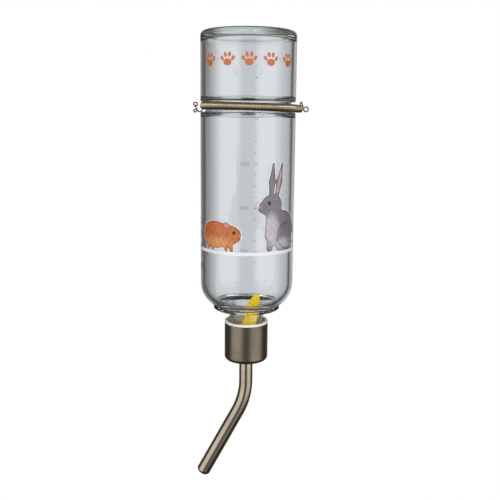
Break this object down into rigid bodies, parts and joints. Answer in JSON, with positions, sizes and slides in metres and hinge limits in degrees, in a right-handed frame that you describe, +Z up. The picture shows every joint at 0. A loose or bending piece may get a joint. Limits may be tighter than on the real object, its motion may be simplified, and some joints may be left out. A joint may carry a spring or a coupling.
{
  "type": "small animal water bottle",
  "caption": "Upside-down glass bottle with a grooved waist and holding spring, a metal screw cap on a plastic liner, and a bent steel drinking tube with a ball valve; a float shows the level",
  "frame": {"origin": "on the bottle's axis at the middle of its waist, 0.8 mm above the middle of the groove where the holding spring ties the bottle to its cage", "axes": "+Z up along the bottle's axis with the base on top, -Y the front, +X to the right seen from the front"},
  "size_m": [0.0824, 0.0705, 0.3313],
  "materials": {
    "clear_glass": "clear moulded glass",
    "cap_steel": "brushed nickel plate",
    "white_plastic": "moulded white",
    "washer_rubber": "soft pale rubber",
    "tube_steel": "polished stainless steel",
    "ball_steel": "polished ball",
    "float_plastic": "yellow moulded",
    "spring_steel": "drawn wire"
  },
  "bodies": {
    "bottle": {"glass_bottle": "clear_glass"},
    "seal": {"rubber_washer": "washer_rubber"},
    "cap": {"cap_shell": "cap_steel", "cap_liner": "white_plastic"},
    "spout": {"drinking_tube": "tube_steel"},
    "ball": {"valve_ball": "ball_steel"},
    "float": {"level_float": "float_plastic"},
    "spring": {"spring_coil": "spring_steel"},
    "left_end": {"left_end_hook": "spring_steel"},
    "right_end": {"right_end_hook": "spring_steel"}
  },
  "joints": [
    {"name": "cap_drop", "type": "slide", "parent": "bottle", "child": "seal", "axis": [0, 0, -1], "range_m": [0, 0.0122]},
    {"name": "cap_turn", "type": "hinge", "parent": "seal", "child": "cap", "pos_m": [0, 0, -0.175], "axis": [0, 0, -1], "range_deg": [0, 1080]},
    {"name": "tube_swivel", "type": "hinge", "parent": "cap", "child": "spout", "pos_m": [0, 0, -0.184], "axis": [0, 0, 1], "continuous": true},
    {"name": "ball_push", "type": "slide", "parent": "spout", "child": "ball", "axis": [0.4831, 0.0679, 0.8729], "range_m": [0, 0.003]},
    {"name": "float_rise", "type": "slide", "parent": "bottle", "child": "float", "axis": [0, 0, 1], "range_m": [0, 0.18]},
    {"name": "spring_turn", "type": "hinge", "parent": "bottle", "child": "spring", "pos_m": [0, 0, 0], "axis": [0, 0, 1], "continuous": true},
    {"name": "left_pull", "type": "slide", "parent": "spring", "child": "left_end", "axis": [-0.4066, 0.9135, 0.0089], "range_m": [0, 0.006], "stiffness_N_per_m": 400},
    {"name": "right_pull", "type": "slide", "parent": "spring", "child": "right_end", "axis": [0.3745, 0.9272, -0.0082], "range_m": [0, 0.012], "stiffness_N_per_m": 400}
  ],
  "couplings": [
    {"joint": "cap_drop", "follows": "cap_turn", "m_per_rad": 0.00063662}
  ]
}
